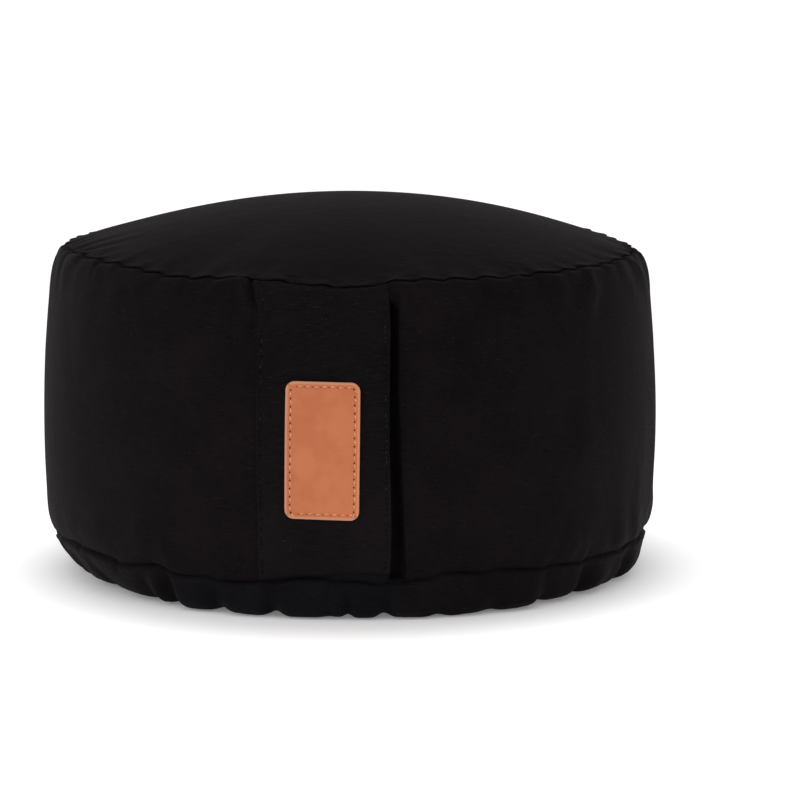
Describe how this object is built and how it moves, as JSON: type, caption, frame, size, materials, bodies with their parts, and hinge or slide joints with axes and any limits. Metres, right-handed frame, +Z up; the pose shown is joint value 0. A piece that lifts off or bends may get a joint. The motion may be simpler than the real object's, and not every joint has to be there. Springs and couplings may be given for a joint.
{
  "type": "yoga cushion",
  "caption": "Round floor cushion with a crowned top, a bulging side, a gathered base, and a bare leather patch on a front flap beside a slit.",
  "frame": {"origin": "middle of the flat base, on the cushion's upright axis, at floor level", "axes": "+Z up along the cushion's axis; the label faces -Y; the slit beside the flap is on the +X side of the label"},
  "size_m": [0.319, 0.3241, 0.1945],
  "materials": {
    "cotton": "black plain-woven cotton with fine slubs, soft and matt",
    "leather": "smooth tan leather, satin, with a paler cut edge"
  },
  "bodies": {
    "root": {"cushion_body": "cotton", "front_flap": "cotton", "leather_label": "leather"}
  },
  "joints": []
}
